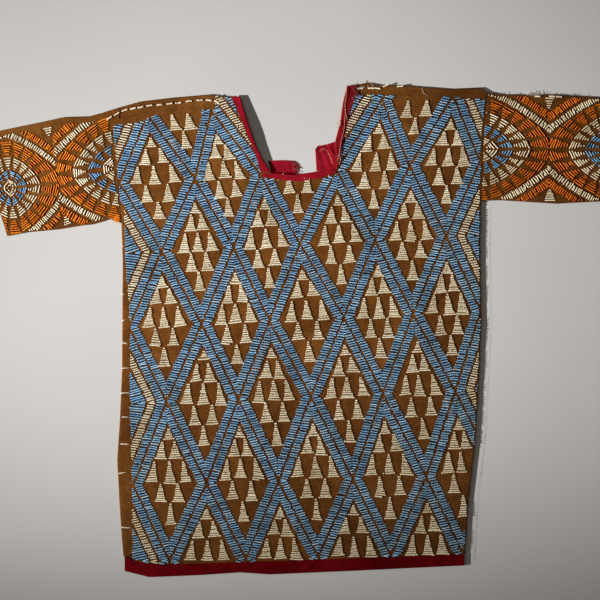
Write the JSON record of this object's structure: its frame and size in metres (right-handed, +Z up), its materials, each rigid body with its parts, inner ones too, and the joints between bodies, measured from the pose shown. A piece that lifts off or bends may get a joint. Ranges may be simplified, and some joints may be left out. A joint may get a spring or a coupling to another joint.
{
  "type": "beaded shirt",
  "caption": "Short-sleeved, square-necked brown cotton tunic laid flat, its front and sleeves covered with lanes and triangles of small glass beads.",
  "frame": {"origin": "on the surface the garment lies on, under the middle of its bounding box", "axes": "+X from the left sleeve's cuff to the right sleeve's as the picture shows them, +Y from the hem to the shoulders, +Z up out of the surface"},
  "size_m": [0.9057, 0.716, 0.0072],
  "materials": {
    "brown_cotton": "plain-woven brown cotton, matt, worn and faded towards the hem",
    "dark_red_cotton": "dark red cotton, matt with a little nap",
    "blue_beads": "opaque glossy blue glass seed beads",
    "cream_beads": "opaque glossy cream glass seed beads",
    "orange_beads": "opaque glossy orange glass seed beads",
    "white_thread": "off-white sewing thread"
  },
  "bodies": {
    "root": {"front_panel": "brown_cotton", "back_panel": "brown_cotton", "sleeve_left": "brown_cotton", "sleeve_right": "brown_cotton", "neck_binding_left": "dark_red_cotton", "neck_binding_front": "dark_red_cotton", "neck_binding_right": "dark_red_cotton", "neck_binding_back": "dark_red_cotton", "neck_binding_flap": "dark_red_cotton", "hem_band_front": "dark_red_cotton", "hem_band_back": "dark_red_cotton"}
  },
  "joints": []
}
